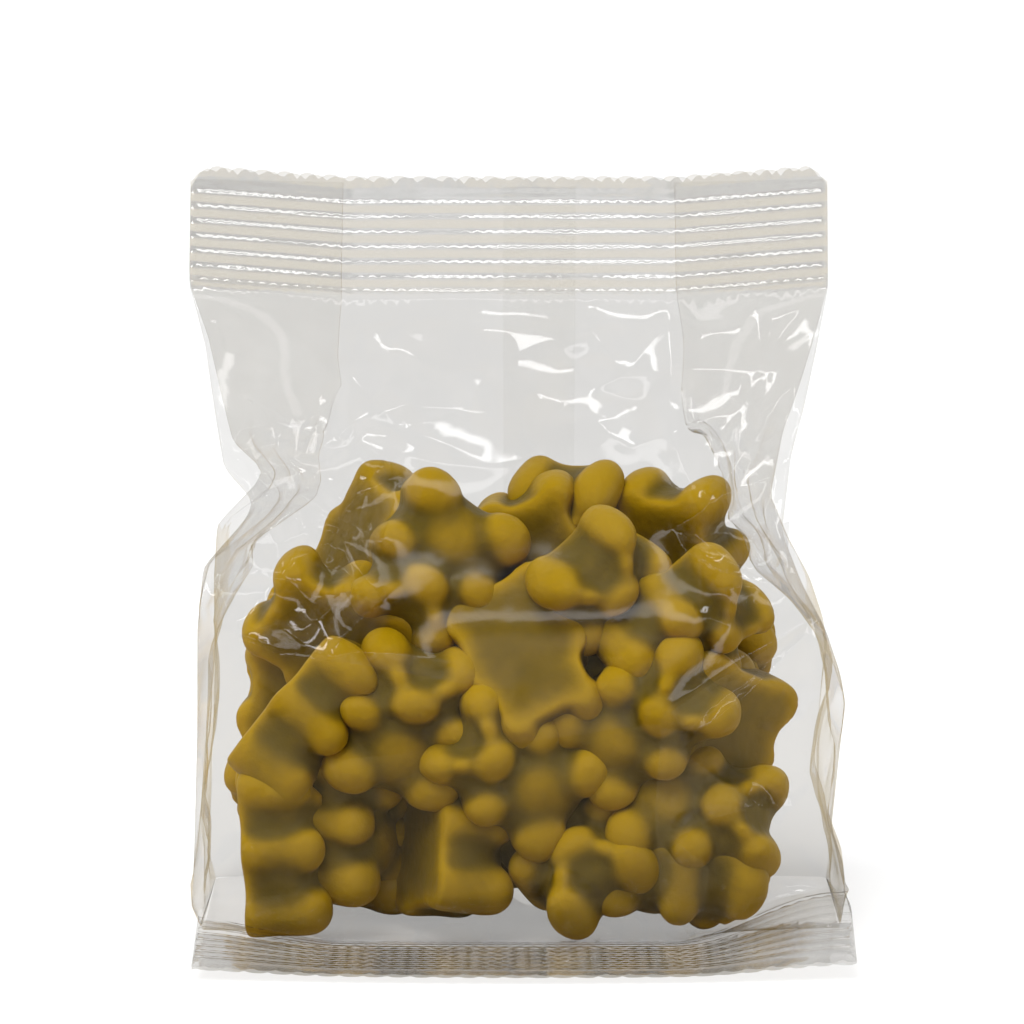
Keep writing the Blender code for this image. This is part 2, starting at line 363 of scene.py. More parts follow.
def build_gummies():
    """The heap of bears, one piece for each of three moulds, and how far it reaches each way."""
    rng = np.random.default_rng(4)
    poses = list(FRONT_BEARS) + filler_bears(rng)
    turns, middles = settle(poses, len(FRONT_BEARS))
    stretches = ((1.0, 1.0, 1.0), (1.04, 0.97, 0.97), (0.96, 1.03, 1.03))
    everything = []
    for mould, stretch in enumerate(stretches):
        master = moulded_bear(f"gummy_bears_{mould + 1}", stretch)
        rest = vertex_places(master.data) - np.array(BEAR_MIDDLE)
        copies = []
        for index in range(mould, len(poses), len(stretches)):
            copy = master.copy()
            copy.data = master.data.copy()
            bpy.context.collection.objects.link(copy)
            places = dent(rest, index) @ turns[index].T + middles[index]
            places[:, 2] += max(0.0, BEAR_FLOOR - places[:, 2].min())
            everything.append(places)
            places = places * MM + np.array(MIDDLE)
            copy.data.vertices.foreach_set("co", places.astype(np.float32).ravel())
            copies.append(copy)
        bpy.data.objects.remove(master)
        select_only(copies)
        bpy.ops.object.join()
        piece = bpy.context.active_object
        piece.name = f"gummy_bears_{mould + 1}"
        piece.data.materials.clear()
        piece.data.materials.append(gum_material())
        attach(piece, "root")
    x, y, z = np.concatenate(everything).T
    return {"front": HeapReach(x, z, -y), "back": HeapReach(x, z, y),
            "left": HeapReach(y, z, -x), "right": HeapReach(y, z, x)}


# ------------------------------------------------------------------ materials

def new_material(name):
    material = bpy.data.materials.get(name)
    if material:
        return material, None, None
    material = bpy.data.materials.new(name)
    material.use_nodes = True
    nodes = material.node_tree.nodes
    nodes.clear()
    return material, nodes, material.node_tree.links


def gum_material():
    """Satin mustard gum, faintly mottled, with painted light and shade: golden where it stands out, a
    painted glow for light through thin gum, and dull olive on the flats and dark in hollows, painted
    shade.
    """
    material, nodes, links = new_material("satin gum")
    if nodes is None:
        return material
    output = nodes.new("ShaderNodeOutputMaterial")
    shader = nodes.new("ShaderNodeBsdfPrincipled")
    links.new(shader.outputs[0], output.inputs[0])
    places = nodes.new("ShaderNodeTexCoord")
    swell = nodes.new("ShaderNodeAttribute")
    swell.attribute_name = "swell"
    mottle = nodes.new("ShaderNodeTexNoise")
    mottle.inputs["Scale"].default_value = 420.0
    mottle.inputs["Detail"].default_value = 4.0
    links.new(places.outputs["Object"], mottle.inputs["Vector"])
    shade = nodes.new("ShaderNodeMath")
    shade.operation = "MULTIPLY_ADD"
    shade.inputs[1].default_value = 0.35
    links.new(mottle.outputs["Fac"], shade.inputs[0])
    links.new(swell.outputs["Fac"], shade.inputs[2])
    # Painted light and shade: the ramp turns the swell into colour, dark olive in hollows and on flats as
    # painted shade, and gold on limbs and rims as a painted glow of light through thin gum. The mottle is
    # the gum's own uneven tone.
    colour = nodes.new("ShaderNodeValToRGB")
    colour.color_ramp.elements[0].position = 0.16
    colour.color_ramp.elements[0].color = (0.128, 0.088, 0.005, 1)
    colour.color_ramp.elements[1].position = 0.95
    colour.color_ramp.elements[1].color = (0.44, 0.272, 0.001, 1)
    middle = colour.color_ramp.elements.new(0.45)
    middle.color = (0.205, 0.130, 0.003, 1)
    links.new(shade.outputs[0], colour.inputs["Fac"])
    links.new(colour.outputs["Color"], shader.inputs["Base Color"])
    shader.inputs["Roughness"].default_value = 0.46
    shader.inputs["Specular IOR Level"].default_value = 0.42
    shader.inputs["Subsurface Weight"].default_value = 0.18
    shader.inputs["Subsurface Radius"].default_value = (1.0, 0.78, 0.25)
    shader.inputs["Subsurface Scale"].default_value = 0.0022
    grain = nodes.new("ShaderNodeTexNoise")
    grain.inputs["Scale"].default_value = 900.0
    grain.inputs["Detail"].default_value = 5.0
    links.new(places.outputs["Object"], grain.inputs["Vector"])
    bump = nodes.new("ShaderNodeBump")
    bump.inputs["Strength"].default_value = 0.5
    bump.inputs["Distance"].default_value = 0.0003
    links.new(grain.outputs["Fac"], bump.inputs["Height"])
    links.new(bump.outputs["Normal"], shader.inputs["Normal"])
    return material


# ------------------------------------------------------------------ clear film

# The bag: heights of the top seal, depth of the base, and the bottom seal on the floor in front.
BAG_HEIGHT = 103.5
SEAL_BOTTOM = 86.0
SEAL_LENGTH = 17.5
BASE_FRONT, BASE_BACK = -21.5, 20.5
FIN_SHIFT = 2.0
FIN_HALF_WIDTH = 44.2
FIN_HEIGHT = 1.1
FIN_LEFT_LIFT = 3.0
FIN_RIGHT_LIFT = 6.5
LIFT_START = 22.0
LIFT_FADES_AT = 9.0
GUSSET_LINE = 22.0
SIDE_FLAT = 22.0
SEAL_BOW = 4.0
SEAL_RISE = 1.2
CROWN = 0.10

# Ribs pressed into the seals, and the serrated cut.
RIB_PITCH = 2.05
RIB_HEIGHT = 0.42
RIB_SLOPE_SHARE = 0.66
TOOTH_PITCH = 3.1
TOOTH_HEIGHT = 1.0

# Gaps between layers, roundings, and how closely each panel is cut into triangles.
LAYER_GAP = 0.12
FILM_CLEAR = 0.3
CURL_LENGTH = 10.0
CORNER_DROP = 2.4
CORNER_REACH = 3.2
LIP = 0.55
FILM_STEP = 1.5
EDGE_STEP = 1.0
CREASE_STEP = 0.8
BESIDE_CREASE = (-1.1, -0.45, -0.16, 0.16, 0.45, 1.1)

# Outline seen from the front: (height, x), pinched at the waist.
LEFT_OUTLINE = ((0, -42.0), (4, -43.2), (8, -42.9), (14, -42.6), (30, -42.0), (44, -41.9), (52, -41.2),
                (58.3, -35.4), (60.5, -34.6), (64.5, -38.6), (74, -40.6), (79, -41.6), (86, -43.9),
                (88, -44.0), (103.5, -43.6))
RIGHT_OUTLINE = ((0, 45.4), (5, 46.2), (12, 45.2), (17, 43.6), (28, 44.6), (34, 45.3), (38, 44.6),
                 (44, 42.6), (50, 39.4), (56.5, 36.8), (62, 37.6), (66, 38.2), (72, 40.2), (79, 42.2),
                 (86, 43.9), (103.5, 43.6))

# Side profile: (height, y) of the front and back panels.
FRONT_PROFILE = ((0, -21.5), (5, -22.6), (16, -23.6), (29, -24.0), (33, -23.8), (44, -22.9), (58, -17.0),
                 (72, -9.5), (81, -3.6), (86, -0.5), (103.5, -0.2))
BACK_PROFILE = ((0, 20.5), (3, 21.6), (28, 22.4), (45, 20.6), (58, 15.8), (72, 8.0), (81, 3.0),
                (86, 0.5), (103.5, 0.2))

# How far each side is folded in between the panels: (height, depth).
GUSSET_DEPTH = ((0, 0.0), (12, 0.8), (38, 2.0), (46, 4.5), (54, 6.5), (60, 9.0), (68, 15.5),
                (79, 18.5), (86, 21.5), (103.5, 21.5))

# Creases: how far the ridge stands out, the width of its slopes, how rounded it is, and the
# points (x, height) that it runs through. A negative ridge is a valley.
FRONT_CREASES = (
    # left of the head space
    (0.9, 8, 0.12, ((-43.0, 85.5), (-33, 82.5), (-23.5, 78.7), (-15, 70.3), (-4, 66.5))),
    (-0.7, 6, 0.3, ((-40.5, 85), (-39, 79), (-37.5, 74.7))),
    (1.1, 7, 0.16, ((-37.5, 74.5), (-31, 71.5), (-25, 68))),
    (0.5, 5, 0.10, ((-41.0, 79.0), (-37.5, 74.5), (-33, 76.0), (-24, 78.6))),
    (0.8, 5, 0.22, ((-24.6, 78), (-26, 73), (-25, 68.5))),
    (0.7, 6, 0.12, ((-38.6, 65), (-36.5, 69.5), (-31, 70.3), (-25, 68))),
    (0.6, 5, 0.12, ((-38.6, 65), (-33, 64.0), (-29, 66.5), (-24.5, 67.5))),
    (-0.6, 5, 0.4, ((-38.0, 66), (-30, 66.5), (-25, 63))),
    (0.9, 5, 0.10, ((-25, 68), (-21, 70.8), (-20.5, 68.8), (-16, 65.8), (-15.3, 61.0), (-17, 56))),
    (0.6, 5, 0.14, ((-21, 71), (-14, 73), (-4, 72))),
    (0.7, 6, 0.30, ((-20.5, 68.8), (-11, 66.0), (-2, 65.2), (6, 66.5))),
    (-0.6, 7, 0.8, ((-22, 82), (-10, 78), (0, 77))),
    (0.6, 8, 0.9, ((-22, 79), (-14, 82), (0, 82.5), (12, 80))),
    (0.5, 7, 0.7, ((-14, 75), (-2, 74), (12, 71.5))),
    # right of the head space
    (1.1, 6, 0.35, ((10.5, 85.5), (11.5, 82), (16, 76.5))),
    (0.6, 6, 0.25, ((-3, 77.5), (7, 73.5), (16, 76.5), (22, 85))),
    (0.5, 6, 0.20, ((16, 76.5), (21.8, 77.2), (29, 77.0), (40.5, 76.0))),
    (0.8, 6, 0.14, ((11.0, 73.0), (12, 70.9), (13.5, 69.4), (16.5, 67.6), (21.3, 69.5), (30, 71.5))),
    (-0.6, 6, 0.5, ((7, 79), (12, 74.5), (20, 72.5))),
    (1.2, 6, 0.22, ((21.5, 70.0), (24.0, 64.5), (25.2, 60.5))),
    (0.6, 5, 0.10, ((21.5, 86), (22.0, 78), (21.5, 70))),
    (1.3, 6, 0.25, ((41.0, 76.0), (37, 73.5), (34.0, 69.3))),
    (0.9, 6, 0.12, ((41.0, 76.0), (38.5, 71.5), (34.0, 69.3), (28.5, 62.5))),
    (0.8, 5, 0.25, ((34.0, 85), (34.0, 79.5), (32.5, 77.0))),
    (-0.6, 7, 0.5, ((22, 85), (30, 80.5), (38, 80))),
    # the pinched waist
    (1.0, 5, 0.10, ((37.2, 64.5), (32, 62.5), (27, 60.8))),
    (0.8, 5, 0.10, ((37.2, 64.5), (33.5, 58), (31.5, 52.0))),
    (0.9, 5, 0.10, ((37.2, 64.5), (37.0, 56), (35.2, 50.3))),
    (1.0, 4, 0.12, ((22, 57.2), (24, 54.3), (28, 52.0), (35.2, 50.3))),
    (-0.8, 4, 0.12, ((23.5, 56.5), (27, 53.5), (35.2, 51.6))),
    (0.7, 5, 0.10, ((22, 57.2), (26, 59.5), (28, 62.5))),
    (0.9, 5, 0.14, ((-38.5, 52), (-37.0, 54.5), (-33.3, 59.5))),
    (1.0, 5, 0.12, ((-40.8, 52), (-38.0, 47.5), (-36.2, 44.0))),
    (0.8, 5, 0.12, ((-40.5, 52), (-32.5, 51), (-28, 50.5))),
    (-0.8, 5, 0.12, ((-24.5, 55.5), (-30.2, 52.0), (-33.0, 49.0), (-32.5, 46.5))),
    (0.8, 4, 0.12, ((-33.3, 59.5), (-31.5, 56), (-30.5, 51.5))),
    (0.9, 4, 0.10, ((-33.3, 59.5), (-28, 61.5), (-22.5, 58.5), (-17, 56))),
    (0.8, 4, 0.10, ((-30, 66), (-27, 62.5), (-21.5, 61), (-15.5, 64))),
    (0.7, 4, 0.10, ((-29, 58), (-23, 58.8), (-20.5, 61.5), (-20, 66))),
    (0.8, 4, 0.10, ((-26.5, 57.5), (-23, 56.6), (-20, 52), (-17, 48))),
    (0.7, 4, 0.12, ((-24.5, 63.5), (-22.5, 58.5), (-24.5, 53), (-23, 48.5))),
    # over the heap, left
    (1.5, 6, 0.20, ((-36.2, 44.0), (-30.5, 41.7), (-24.5, 41.0))),
    (0.9, 6, 0.12, ((-24.5, 41.0), (-20, 41.7), (-14, 41.2), (-8, 40.2))),
    (0.7, 5, 0.12, ((-24.5, 41.0), (-17, 39.2), (-9, 37.8), (0, 36.5))),
    (-1.0, 5, 0.12, ((-24.5, 41.0), (-20.5, 45), (-16.5, 48.5))),
    (0.8, 5, 0.12, ((-24.5, 41.0), (-31, 45), (-36.2, 44))),
    (0.9, 6, 0.12, ((-36.2, 44.0), (-34.5, 38), (-32.5, 33), (-31.5, 27))),
    (-0.6, 6, 0.4, ((-39, 44), (-38, 34), (-36, 24))),
    # over the heap, right
    (1.7, 6, 0.18, ((40.2, 45.6), (31, 40.2), (21.5, 34.2), (20.4, 32.0))),
    (-1.1, 4, 0.20, ((39.6, 44.4), (31.5, 37.5), (23.5, 31.5))),
    (0.9, 4, 0.14, ((39.6, 43.4), (32, 35.6), (25, 30.2), (23, 27.5))),
    (0.9, 4, 0.10, ((20.4, 32.0), (19.8, 26), (20.2, 19), (22, 16))),
    (0.8, 5, 0.10, ((23, 27.5), (28, 24), (33.5, 20.5), (27, 19.2), (22, 16), (27, 12))),
    (1.0, 5, 0.14, ((27, 12), (26.6, 7), (25.2, 1.0))),
    (0.9, 5, 0.16, ((33, 12.5), (36, 17), (39.8, 22))),
    (-0.6, 5, 0.4, ((28, 27), (34.5, 23), (39, 15), (41, 10))),
    (0.8, 5, 0.12, ((40.2, 45.6), (42, 36), (42.5, 27), (41.5, 19), (44.6, 9.5))),
    (0.7, 5, 0.12, ((34, 40), (38, 33), (41.5, 30))),
    (0.8, 5, 0.12, ((45.2, 8.5), (35, 5.0), (26, 1.0))),
    (0.6, 5, 0.16, ((34, 20), (39, 15), (44.6, 9.5))),
    # the foremost line of the front, where the panel turns under
    (0.9, 9, 0.14, ((-35, 15.5), (-27.5, 24.0), (-21.5, 27.0), (-7.5, 28.6), (11, 30.5), (20.4, 32))),
    # lower left corner
    (0.9, 5, 0.12, ((-42.5, 7.5), (-39, 12), (-35, 15.5), (-31.5, 27))),
    (0.8, 5, 0.12, ((-40.5, 3.5), (-38.5, 8), (-37, 13))),
    (0.7, 5, 0.12, ((-42.5, 7.5), (-37, 5), (-34, 1))),
)

BACK_CREASES = (
    (1.0, 8, 0.2, ((-41, 84), (-24, 74), (-8, 62))),
    (-0.8, 8, 0.5, ((38, 82), (20, 74), (6, 66))),
    (0.9, 7, 0.15, ((-36, 59), (-22, 50), (-12, 46))),
    (1.0, 7, 0.15, ((38, 54), (26, 46), (16, 40))),
    (0.8, 7, 0.2, ((-38, 40), (-30, 22), (-22, 8))),
    (0.8, 9, 0.3, ((-22, 28), (0, 31), (24, 32))),
    (0.7, 6, 0.2, ((24, 32), (34, 44), (40, 44))),
    (0.7, 6, 0.2, ((24, 32), (28, 14), (36, 4))),
)

# Tucks: small folds of the film that lie over the front panel. Points (x, height, out).
TUCKS = (
    ((-36.2, 44.0, 1.6), (-30.5, 41.7, 2.0), (-24.5, 41.0, 2.2), (-20.5, 45.0, 0.6), (-17.3, 48.2, 0.3),
     (-21.5, 49.3, 0.2), (-26.5, 48.6, 0.2), (-31.0, 45.8, 0.6)),
    ((-24.5, 41.0, 2.2), (-20.0, 41.8, 0.9), (-14.0, 41.6, 0.5), (-8.0, 40.6, 0.3), (-9.0, 38.2, 0.3),
     (-16.0, 39.4, 0.6)),
    ((40.0, 45.4, 0.6), (31.0, 40.2, 2.2), (21.5, 34.2, 2.4), (23.0, 31.6, 1.0), (25.0, 30.6, 0.5),
     (32.0, 36.4, 0.4), (39.6, 43.6, 0.2)),
    ((20.4, 32.0, 1.8), (23.2, 31.0, 0.7), (24.0, 27.5, 0.4), (33.5, 20.6, 0.3), (27.5, 18.8, 0.2),
     (22.2, 16.0, 0.3), (27.0, 12.0, 0.9), (26.4, 6.5, 1.0), (25.0, 1.2, 0.5), (20.4, 8.0, 0.2),
     (19.6, 20.0, 0.3)),
    ((22.0, 57.2, 1.3), (24.0, 54.2, 1.0), (28.5, 51.8, 0.6), (35.2, 50.3, 0.4), (29.0, 53.6, 0.3),
     (25.0, 56.6, 0.3)),
    ((-17.0, 66.5, 0.7), (-15.4, 61.0, 1.4), (-17.0, 56.0, 1.2), (-21.0, 51.5, 0.5), (-24.0, 50.5, 0.2),
     (-20.6, 57.0, 0.2), (-19.0, 63.0, 0.3)),
)


def smooth_along(profile, heights, reach=3.0):
    """The value of a profile of (height, value) at each height, with its corners rounded off."""
    places, values = zip(*profile)
    steps = np.linspace(-reach, reach, 9)
    return np.mean([np.interp(heights + step, places, values) for step in steps], axis=0)


def fade(value, start, end):
    """0 at start, 1 at end, smooth in between."""
    t = np.clip((value - start) / (end - start), 0.0, 1.0)
    return t * t * (3.0 - 2.0 * t)


def outline(heights):
    """The left and right fold of the bag at each height."""
    return smooth_along(LEFT_OUTLINE, heights, 0.8), smooth_along(RIGHT_OUTLINE, heights, 0.8)


def fin_lift(x):
    """How far the two ends of the bottom seal curl up from the floor."""
    lift = np.where(x < 0, FIN_LEFT_LIFT, FIN_RIGHT_LIFT)
    return lift * fade(np.abs(x), LIFT_START, FIN_HALF_WIDTH)


def ribs(distance):
    """The pressed ribs of a seal: each falls back over a long slope and returns over a short one."""
    phase = (distance / RIB_PITCH) % 1.0
    share = np.where(phase < RIB_SLOPE_SHARE, 1.0 - phase / RIB_SLOPE_SHARE,
                     (phase - RIB_SLOPE_SHARE) / (1.0 - RIB_SLOPE_SHARE))
    inside = fade(distance, 0.0, 0.5) * fade(-distance, -7.0 * RIB_PITCH, -7.0 * RIB_PITCH + 0.5)
    return RIB_HEIGHT * share * inside


def ripple(x, z, size, seed):
    """Soft swells of the film, about -1 to 1."""
    return np.array([noise.noise(Vector((a / size, b / size, seed))) for a, b in zip(x, z)])


def distance_to(line, points):
    """How far each point lies from a line of points, and how far along it, 0 to 1."""
    line = np.array(line, float)
    lengths = np.hypot(*(line[1:] - line[:-1]).T)
    done = np.concatenate([[0.0], np.cumsum(lengths)]) / lengths.sum()
    nearest = np.full(len(points), 1e9)
    place = np.zeros(len(points))
    for i, (start, end) in enumerate(zip(line, line[1:])):
        run = end - start
        share = np.clip(((points - start) @ run) / (run @ run), 0.0, 1.0)
        far = np.hypot(*(points - start - share[:, None] * run).T)
        closer = far < nearest
        nearest = np.where(closer, far, nearest)
        place = np.where(closer, done[i] + (done[i + 1] - done[i]) * share, place)
    return nearest, place


def crease_relief(points, creases):
    """How far the creases push the film out at each point, in millimetres."""
    relief = np.zeros(len(points))
    for ridge, slope, rounding, line in creases:
        far, place = distance_to(line, points)
        eased = np.sqrt(far * far + rounding * rounding) - rounding
        ends = np.clip(np.minimum(place, 1.0 - place) / 0.25, 0.0, 1.0)
        relief += ridge * (0.45 + 0.55 * ends) * np.maximum(0.0, 1.0 - eased / slope) ** 2
    return relief


def crumple(rng, low, high, spacing, ridge):
    """A net of random creases over a rectangle, meeting at shared points as in crushed film."""
    columns = int((high[0] - low[0]) / spacing) + 1
    rows = int((high[1] - low[1]) / spacing) + 1
    knots = []
    for row in range(rows):
        for column in range(columns):
            x = low[0] + (column + 0.5 * (row % 2)) * spacing + rng.uniform(-0.4, 0.4) * spacing
            z = low[1] + row * spacing + rng.uniform(-0.4, 0.4) * spacing
            knots.append((x, z))
    points, edges, *_ = delaunay_2d_cdt([Vector(k) for k in knots], [], [], 0, 1e-4)
    found = []
    for start, end in edges:
        strength = rng.uniform(-1.0, 1.0)
        if abs(strength) < 0.45:
            continue
        a, b = points[start], points[end]
        if (a - b).length > 2.2 * spacing:
            continue
        bend = (a + b) / 2 + Vector((rng.uniform(-0.12, 0.12), rng.uniform(-0.12, 0.12))) * spacing
        line = ((a.x, a.y), (bend.x, bend.y), (b.x, b.y))
        found.append((ridge * strength, spacing * 0.6, rng.choice((0.1, 0.2, 0.5)), line))
    return found


def along_line(line, step):
    """Evenly spaced points along a line of points, with the direction of the line at each."""
    found = []
    for start, end in zip(line, line[1:]):
        run = Vector(end) - Vector(start)
        count = max(1, round(run.length / step))
        for i in range(count):
            found.append((Vector(start) + run * (i / count), run.normalized()))
    found.append((Vector(line[-1]), found[-1][1]))
    return found


def sheet(border, creases, fill):
    """Triangles of a flat cut of film: its border, its creases as edges, and the fill points."""
    coords = [Vector(point) for point in border]
    edges = [(i, (i + 1) % len(border)) for i in range(len(border))]
    rows = []
    for _, _, _, line in creases:
        spots = along_line(line, CREASE_STEP)
        first = len(coords)
        coords += [spot for spot, _ in spots]
        edges += [(first + i, first + i + 1) for i in range(len(spots) - 1)]
        rows += [spot for spot, _ in spots]
        for spot, run in spots:
            across = Vector((-run.y, run.x))
            coords += [spot + across * side for side in BESIDE_CREASE]
    fill = np.array(fill, float)
    if rows:
        near = KDTree(len(rows))
        for i, spot in enumerate(rows):
            near.insert((*spot, 0.0), i)
        near.balance()
        fill = [f for f in fill if near.find((f[0], f[1], 0.0))[2] > 1.0]
    coords += [Vector(f) for f in fill]
    points, _, faces, *_ = delaunay_2d_cdt(coords, edges, [list(range(len(border)))], 1, 1e-3)
    return np.array([tuple(p) for p in points]), [tuple(face) for face in faces]


def grid_fill(rng, low, high, step_x, step_z, jitter):
    """Loosely spaced points over a rectangle, in rows that are offset from each other."""
    found = []
    rows = int((high[1] - low[1]) / step_z)
    columns = int((high[0] - low[0]) / step_x)
    for row in range(rows + 1):
        for column in range(columns + 1):
            x = low[0] + (column + 0.5 * (row % 2)) * step_x + rng.uniform(-jitter, jitter) * step_x
            found.append((x, low[1] + row * step_z + rng.uniform(-jitter, jitter) * step_z))
    return found


def seal_height(x, height):
    """The top seal bends back at its two gusset lines and rises towards its ends."""
    beyond = np.maximum(0.0, np.abs(x) - GUSSET_LINE) / GUSSET_LINE
    share = fade(height, 60.0, SEAL_BOTTOM)
    return SEAL_BOW * beyond * share, SEAL_RISE * beyond * share


def cut_edge(x, seed):
    """The serrated cut edge: rounded teeth of uneven height."""
    phase = np.abs((x / TOOTH_PITCH) % 1.0 - 0.5) * 2.0
    uneven = 0.75 + 0.5 * ripple(x, x * 0.0, 7.0, seed)
    return -TOOTH_HEIGHT * uneven * phase ** 3


def panel_border(top, bottom, edge_heights):
    """The cut outline of a panel: up the right side, along the top, down the left, along the bottom."""
    left, right = outline(edge_heights)
    across = np.linspace(0.0, 1.0, 150)
    high = top(left[-1] + (right[-1] - left[-1]) * across)
    corner = np.minimum(across, 1.0 - across) * (right[-1] - left[-1])
    high = high - CORNER_DROP * (1.0 - np.minimum(1.0, corner / CORNER_REACH)) ** 2
    low = bottom(left[0] + (right[0] - left[0]) * across)
    border = list(zip(right[1:-1], edge_heights[1:-1]))
    border += [(right[-1] - (right[-1] - left[-1]) * s, high[-1 - i]) for i, s in enumerate(across)]
    border += list(zip(left[-2:0:-1], edge_heights[-2:0:-1]))
    border += [(left[0] + (right[0] - left[0]) * s, low[i]) for i, s in enumerate(across)]
    return border


def front_place(points, creases, heap, out=0.0):
    """Where a flat point (x, z) of the front panel lies. Below z = 0 it is the bottom seal, folded
    forwards on the floor; out is an extra distance to the front."""
    x, z = points.T
    left, right = outline(np.maximum(z, 0.0))
    place = np.clip((2 * x - left - right) / (right - left), -1.0, 1.0)
    profile = smooth_along(FRONT_PROFILE, np.maximum(z, 0.0), 2.5)
    wall = profile * (1.0 - CROWN * place * place)
    edge = np.minimum(x - left, right - x)
    calm = fade(edge, 0.0, 2.5) * fade(z, 0.0, 2.5) * fade(-z, -SEAL_BOTTOM - 1.0, -SEAL_BOTTOM + 4.0)
    relief = crease_relief(points, creases) * calm
    swell = 0.30 * ripple(x, z, 9.0, 1.5) + 0.10 * ripple(x, z, 4.0, 7.5)
    relief = relief + swell * fade(edge, 0.0, 4.0) * fade(z, 30.0, 62.0)
    relief = relief + ribs(z - SEAL_BOTTOM - 0.6) * fade(edge, 0.0, 0.8)
    lip = np.clip(1.0 - edge / LIP, 0.0, 1.0)
    round_over = LIP * (1.0 - np.sqrt(np.maximum(0.0, 1.0 - lip * lip))) * fade(-z, -88.0, -80.0)
    bow, rise = seal_height(x, z)
    y = wall - relief - out + round_over + bow - LAYER_GAP
    lift = fin_lift(x)
    height = z + rise + lift * np.clip(1.0 - z / LIFT_FADES_AT, 0.0, 1.0)
    forward = np.maximum(0.0, -z)
    y = np.where(z < 0, BASE_FRONT * (1.0 - CROWN * place * place) - forward, y)
    y = np.where(z > 1.0, np.minimum(y, -heap["front"].at(x, height) - FILM_CLEAR - out), y)
    fin_x = FIN_SHIFT + FIN_HALF_WIDTH * place
    share = forward / SEAL_LENGTH
    fin_z = FIN_HEIGHT + lift * (1.0 - 0.8 * share) + ribs(forward - 2.0)
    height = np.where(z < 0, fin_z, np.maximum(height, FIN_HEIGHT + lift))
    x = np.where(z < 0, x + (fin_x - x) * fade(forward, 0.0, 5.0), x)
    return np.stack([x, y, height], axis=1)


def back_place(points, creases, heap):
    """Where a flat point (x, z) of the back panel lies."""
    x, z = points.T
    left, right = outline(z)
    place = np.clip((2 * x - left - right) / (right - left), -1.0, 1.0)
    wall = smooth_along(BACK_PROFILE, z, 2.5) * (1.0 - CROWN * place * place)
    edge = np.minimum(x - left, right - x)
    calm = fade(edge, 0.0, 2.5) * fade(z, 0.0, 4.0) * fade(-z, -SEAL_BOTTOM - 1.0, -SEAL_BOTTOM + 4.0)
    relief = crease_relief(points, creases) * calm
    relief = relief + 0.35 * ripple(x, z, 10.0, 4.5) * fade(edge, 0.0, 4.0) * fade(z, 2.0, 20.0)
    lip = np.clip(1.0 - edge / LIP, 0.0, 1.0)
    round_over = LIP * (1.0 - np.sqrt(np.maximum(0.0, 1.0 - lip * lip))) * fade(-z, -88.0, -80.0)
    bow, rise = seal_height(x, z)
    pressed = ribs(z - SEAL_BOTTOM - 0.6) * fade(edge, 0.0, 0.8)
    y = wall + relief - round_over - pressed + bow + LAYER_GAP
    y = np.maximum(y, heap["back"].at(x, z) + FILM_CLEAR)
    return np.stack([x, y, z + rise], axis=1)


def side_place(points, creases, heap, side):
    """Where a flat point (across, z) of a side lies: -1 at the front fold, 1 at the back fold."""
    across, z = points[:, 0] / SIDE_FLAT, points[:, 1]
    left, right = outline(z)
    fold = left if side < 0 else right
    bow, rise = seal_height(fold, z)
    lip = LIP * fade(-z, -88.0, -80.0)
    front = smooth_along(FRONT_PROFILE, z, 2.5) * (1.0 - CROWN) + lip - LAYER_GAP
    back = smooth_along(BACK_PROFILE, z, 2.5) * (1.0 - CROWN) - lip + LAYER_GAP
    depth = smooth_along(GUSSET_DEPTH, z, 1.5)
    share = 1.0 - np.abs(across)
    rounded = np.sqrt(share * share + 0.0004) - 0.02
    inner_bow, _ = seal_height(fold - side * depth, z)
    x = fold - side * depth * rounded
    y = front + (back - front) * (across + 1.0) / 2.0 + bow + (inner_bow - bow) * share
    calm = np.clip(share / 0.12, 0.0, 1.0) * fade(z, 0.0, 4.0) * fade(-z, -84.0, -76.0)
    relief = crease_relief(points, creases) * calm
    swell = 0.3 * ripple(across * 22.0, z, 12.0, 11.5 * side) * calm
    curl = np.clip(1.0 - (across + 1.0) / 2.0 * (BASE_BACK - BASE_FRONT) / CURL_LENGTH, 0.0, 1.0)
    lift = fin_lift(fold) * np.clip(1.0 - z / LIFT_FADES_AT, 0.0, 1.0) * curl * curl
    x = side * (x + side * (relief + swell))
    x = side * np.maximum(x, heap["left" if side < 0 else "right"].at(y, z) + FILM_CLEAR)
    return np.stack([x, y - 0.2 * relief, z + rise + lift], axis=1)


def base_place(points):
    """Where a flat point (x, v) of the base lies. Above v = 0 it crosses the floor to the back,
    and below v = 0 it is the lower layer of the bottom seal."""
    x, v = points.T
    left, right = outline(np.zeros(1))
    place = np.clip((2 * x - left - right) / (right - left), -1.0, 1.0)
    round_front = BASE_FRONT * (1.0 - CROWN * place * place)
    round_back = BASE_BACK * (1.0 - CROWN * place * place)
    share = np.maximum(v, 0.0) / (BASE_BACK - BASE_FRONT)
    forward = np.maximum(0.0, -v)
    y = round_front + (round_back - round_front) * share - forward
    fin_share = forward / SEAL_LENGTH
    lift = fin_lift(x)
    fin_z = FIN_HEIGHT - 0.25 + lift * (1.0 - 0.8 * fin_share) + ribs(forward - 2.0)
    curl = np.clip(1.0 - v / CURL_LENGTH, 0.0, 1.0)
    swell = 0.12 * (1.0 + ripple(x, v, 8.0, 21.5)) * fade(v, 0.0, 6.0) * fade(-v, -42.0, -36.0)
    floor_z = 0.08 + swell + (FIN_HEIGHT - 0.33 + lift) * curl * curl
    fin_x = FIN_SHIFT + FIN_HALF_WIDTH * place
    x = np.where(v < 0, x + (fin_x - x) * fade(forward, 0.0, 5.0), x)
    return np.stack([x, y, np.where(v < 0, fin_z, floor_z)], axis=1)


